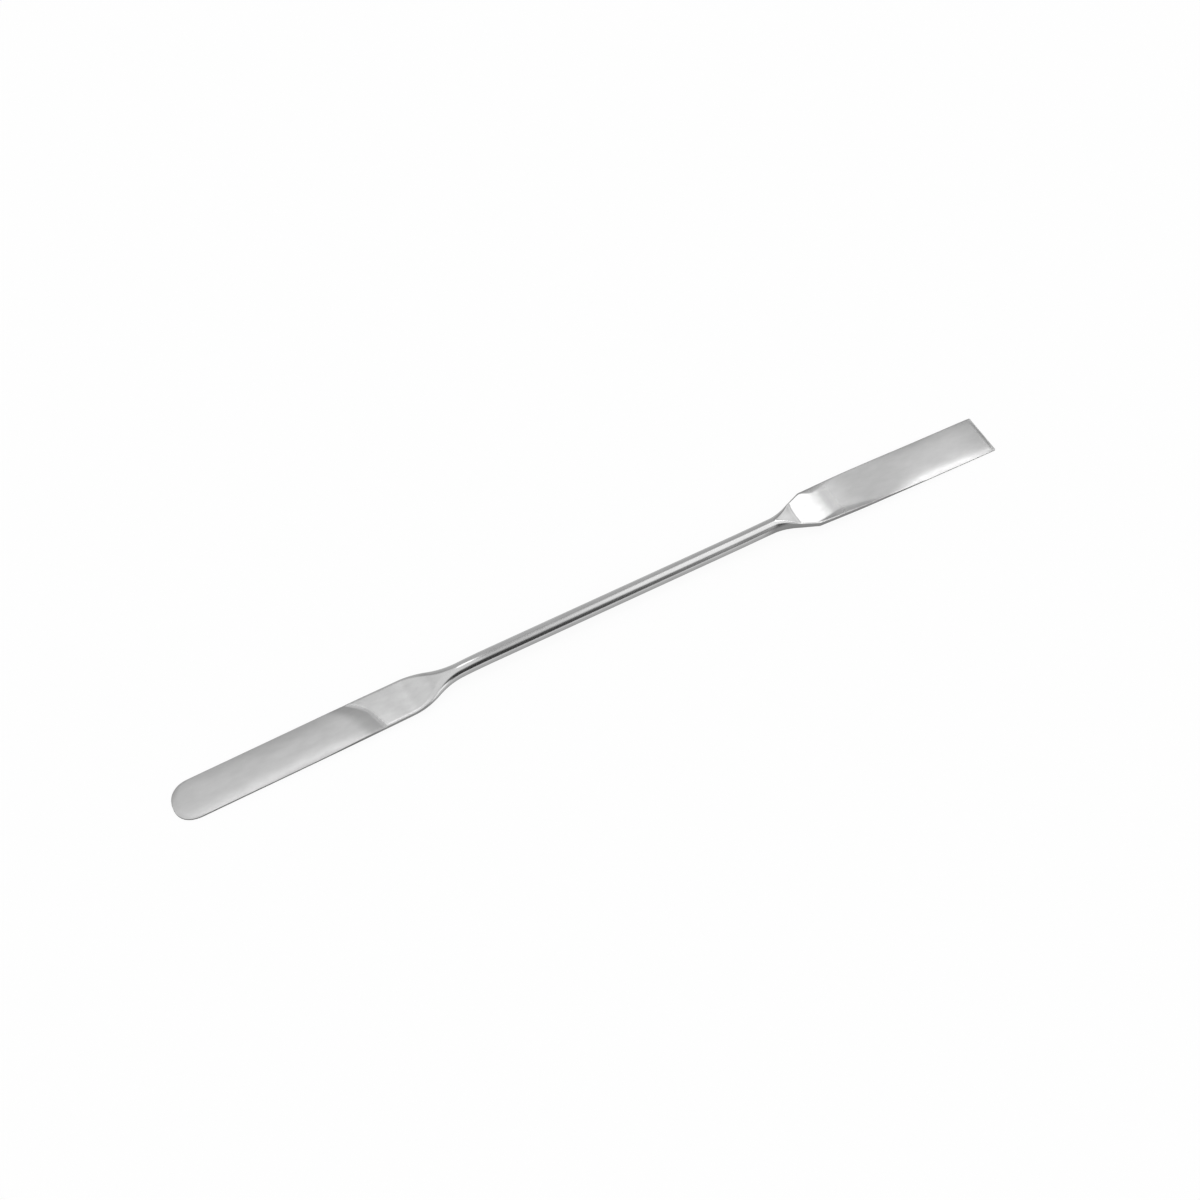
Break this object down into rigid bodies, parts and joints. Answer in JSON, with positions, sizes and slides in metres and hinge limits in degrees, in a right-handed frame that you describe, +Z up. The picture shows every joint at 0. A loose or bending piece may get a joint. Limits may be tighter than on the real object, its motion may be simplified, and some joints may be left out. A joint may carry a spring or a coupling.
{
  "type": "laboratory spatula",
  "caption": "Double-ended steel laboratory spatula: a round shank with a flat round-tipped blade at one end and a flat square-tipped blade at the other.",
  "frame": {"origin": "on the bench, halfway between the two tips, under the spatula's middle", "axes": "+X along the spatula towards the square tip, +Z up, Y across the blades"},
  "size_m": [0.2, 0.0104, 0.0043],
  "materials": {
    "spatula_steel": "polished shank and shoulders, fine satin ground blades"
  },
  "bodies": {
    "root": {"spatula": "spatula_steel"}
  },
  "joints": []
}
